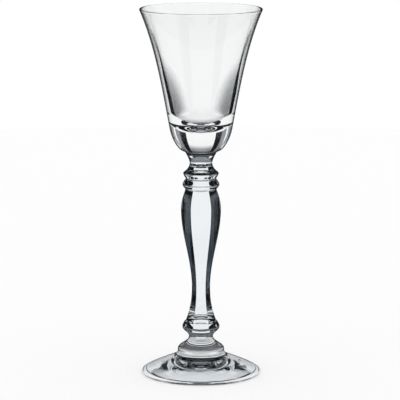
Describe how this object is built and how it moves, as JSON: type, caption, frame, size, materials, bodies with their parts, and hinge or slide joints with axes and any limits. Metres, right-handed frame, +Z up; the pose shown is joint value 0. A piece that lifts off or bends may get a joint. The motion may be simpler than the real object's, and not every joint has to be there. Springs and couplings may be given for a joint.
{
  "type": "cordial glass",
  "caption": "Small stemmed drinking glass for cordial or liqueur: bell-shaped bowl on a ringed stem with flat sides, round foot, clear glass.",
  "frame": {"origin": "centre of the plane that the foot stands on", "axes": "+Z up along the stem, through the middle of the rim; -Y looks out of one of the stem's six flats"},
  "size_m": [0.0504, 0.0504, 0.152],
  "materials": {
    "bowl_glass": "blown, fire polished",
    "stem_glass": "pressed in a mould, fire polished",
    "foot_glass": "pressed in a mould, fire polished"
  },
  "bodies": {
    "root": {"bowl": "bowl_glass", "stem": "stem_glass", "foot": "foot_glass"}
  },
  "joints": []
}
